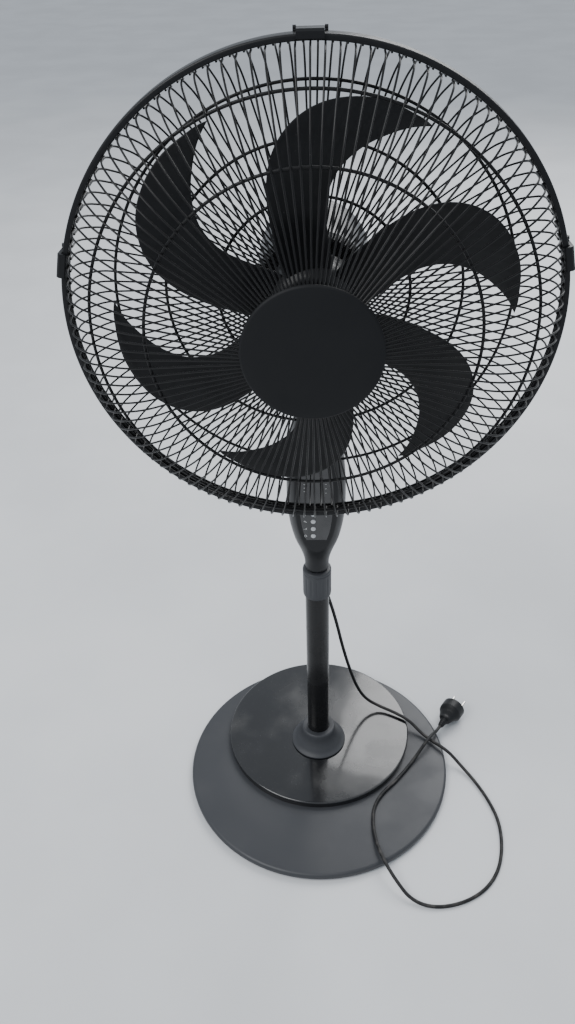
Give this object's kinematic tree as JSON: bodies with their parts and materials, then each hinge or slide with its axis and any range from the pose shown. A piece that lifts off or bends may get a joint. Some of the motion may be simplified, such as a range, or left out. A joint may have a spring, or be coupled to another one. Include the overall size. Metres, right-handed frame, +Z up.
{
  "type": "pedestal fan",
  "caption": "Pedestal fan: round wire cage with curved blades on a tilting, oscillating head, telescopic pole with control housing, two-tier disc base, trailing mains cord and plug.",
  "frame": {"origin": "on the floor under the centre of the lower base disc, at the underside of its middle foot pad", "axes": "+Z up along the pole, the fan faces -Y, +X to the right of someone looking at its front"},
  "size_m": [0.5219, 0.44, 1.0568],
  "materials": {
    "satin_black": "satin, fine moulded grain",
    "gloss_black": "polished",
    "matt_badge": "matt",
    "cast_weight": "rough cast",
    "zinc_steel": "zinc plated",
    "pad_rubber": "dull",
    "black_paint": "semi gloss coating",
    "chromed_tube": "bright",
    "nickel_pin": "bright",
    "white_lens": "translucent",
    "board_laminate": "satin",
    "grey_button": "satin",
    "cast_aluminium": "as cast",
    "copper_wire": "lacquered",
    "bronze_bush": "machined",
    "nylon": "satin",
    "plug_vinyl": "satin"
  },
  "bodies": {
    "base": {"base_plate": "satin_black", "base_weight": "cast_weight", "base_cover": "gloss_black", "pole_socket": "zinc_steel", "base_bolts": "zinc_steel", "base_feet": "pad_rubber", "base_collar": "satin_black", "outer_pole": "black_paint", "pole_collet": "satin_black", "power_cord": "pad_rubber", "plug_body": "plug_vinyl", "plug_pins": "nickel_pin"},
    "collar": {"lock_collar": "satin_black"},
    "column": {"inner_pole": "chromed_tube", "housing_front": "satin_black", "housing_rear": "satin_black", "housing_screws": "zinc_steel", "control_panel": "gloss_black", "indicator_lenses": "white_lens", "circuit_board": "board_laminate", "cord_gland": "pad_rubber", "tilt_upright": "black_paint"},
    "neck": {"neck_bracket": "black_paint", "tilt_bolt": "black_paint", "tilt_nut": "zinc_steel"},
    "head": {"motor_bracket": "cast_aluminium", "stator_core": "zinc_steel", "stator_windings": "copper_wire", "motor_front_bell": "cast_aluminium", "motor_bushes": "bronze_bush", "motor_cover": "satin_black", "swing_motor": "black_paint", "rear_grille_plate": "black_paint", "grille_nut": "satin_black", "rear_grille_wires": "black_paint", "rear_grille_rings": "black_paint", "front_grille_wires": "black_paint", "front_grille_rings": "black_paint", "badge_plate": "satin_black", "badge": "matt_badge", "rim_band": "satin_black"},
    "rotor": {"rotor_core": "zinc_steel", "motor_shaft": "zinc_steel", "fan_blades": "gloss_black", "blade_nut": "gloss_black"},
    "crank": {"crank_disc": "nylon"},
    "link": {"swing_link": "black_paint"},
    "clip_top": {"rim_clip_top": "satin_black"},
    "clip_left": {"rim_clip_left": "satin_black"},
    "clip_right": {"rim_clip_right": "satin_black"},
    "power_button_cap": {"power_button": "grey_button"},
    "speed_button_cap": {"speed_button": "grey_button"},
    "mode_button_cap": {"mode_button": "grey_button"},
    "timer_button_cap": {"timer_button": "grey_button"},
    "swing_button_cap": {"swing_button": "grey_button"}
  },
  "joints": [
    {"name": "collar_twist", "type": "hinge", "parent": "base", "child": "collar", "pos_m": [0, 0.031, 0.36], "axis": [0, 0, 1], "range_deg": [0, 90]},
    {"name": "height_slide", "type": "slide", "parent": "base", "child": "column", "axis": [0, 0, 1], "range_m": [0, 0.25]},
    {"name": "head_tilt", "type": "hinge", "parent": "column", "child": "neck", "pos_m": [0, 0.031, 0.655], "axis": [1, 0, 0], "range_deg": [-20, 15]},
    {"name": "head_swing", "type": "hinge", "parent": "neck", "child": "head", "pos_m": [0, 0.031, 0.731], "axis": [0, 0, 1], "range_deg": [-40, 40]},
    {"name": "blade_spin", "type": "hinge", "parent": "head", "child": "rotor", "pos_m": [0, 0.04, 0.803], "axis": [0, -1, 0], "continuous": true},
    {"name": "crank_turn", "type": "hinge", "parent": "head", "child": "crank", "pos_m": [0, 0.081, 0.735], "axis": [0, 0, 1], "range_deg": [-90, 90]},
    {"name": "link_swing", "type": "hinge", "parent": "crank", "child": "link", "pos_m": [-0.014, 0.081, 0.7278], "axis": [0, 0, 1], "range_deg": [-90, 90]},
    {"name": "clip_top_lift", "type": "hinge", "parent": "head", "child": "clip_top", "pos_m": [0, -0.06, 1.0546], "axis": [-1, 0, 0], "range_deg": [0, 60]},
    {"name": "clip_left_lift", "type": "hinge", "parent": "head", "child": "clip_left", "pos_m": [-0.24564, -0.06, 0.85746], "axis": [-0.2164, 0, -0.9763], "range_deg": [0, 60]},
    {"name": "clip_right_lift", "type": "hinge", "parent": "head", "child": "clip_right", "pos_m": [0.24564, -0.06, 0.85746], "axis": [-0.2164, 0, 0.9763], "range_deg": [0, 60]},
    {"name": "power_button_press", "type": "slide", "parent": "column", "child": "power_button_cap", "axis": [0, 1, 0], "range_m": [0, 0.0008], "stiffness_N_per_m": 900},
    {"name": "speed_button_press", "type": "slide", "parent": "column", "child": "speed_button_cap", "axis": [0, 1, 0], "range_m": [0, 0.0008], "stiffness_N_per_m": 900},
    {"name": "mode_button_press", "type": "slide", "parent": "column", "child": "mode_button_cap", "axis": [0, 1, 0], "range_m": [0, 0.0008], "stiffness_N_per_m": 900},
    {"name": "timer_button_press", "type": "slide", "parent": "column", "child": "timer_button_cap", "axis": [0, 1, 0], "range_m": [0, 0.0008], "stiffness_N_per_m": 900},
    {"name": "swing_button_press", "type": "slide", "parent": "column", "child": "swing_button_cap", "axis": [0, 1, 0], "range_m": [0, 0.0008], "stiffness_N_per_m": 900}
  ],
  "couplings": [
    {"joint": "crank_turn", "follows": "head_swing", "ratio": -2.25},
    {"joint": "link_swing", "follows": "head_swing", "ratio": 2.25}
  ]
}
